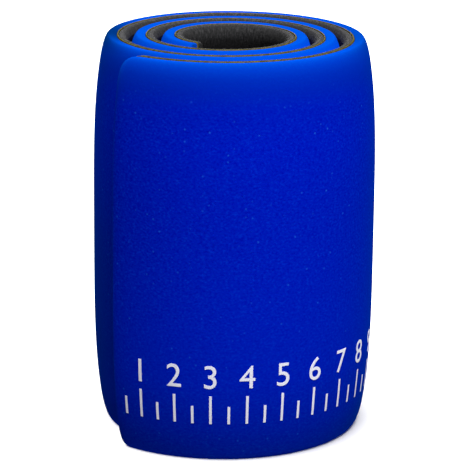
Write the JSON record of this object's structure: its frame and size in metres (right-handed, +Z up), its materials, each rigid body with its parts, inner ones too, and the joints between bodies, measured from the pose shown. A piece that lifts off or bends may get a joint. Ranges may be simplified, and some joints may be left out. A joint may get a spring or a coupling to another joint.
{
  "type": "rolled aluminium foam splint",
  "caption": "Padded splint strip wound into a slightly barrelled roll that stands on its edge: blue outer foam and charcoal inner foam on a soft aluminium core.",
  "frame": {"origin": "middle of the roll's box, on the surface that the roll stands on", "axes": "+Z up along the roll's axis, -Y towards the front, with the strip's outer end at the front left on the -X side"},
  "size_m": [0.077, 0.0814, 0.108],
  "materials": {
    "blue_foam": "closed-cell foam with a fine matt grain",
    "core_metal": "satin olive-gold edge",
    "charcoal_foam": "closed-cell foam with a fibrous matt grain",
    "white_ink": "matt printed ink"
  },
  "bodies": {
    "root": {"outer_foam": "blue_foam", "aluminium_core": "core_metal", "inner_foam": "charcoal_foam"}
  },
  "joints": []
}
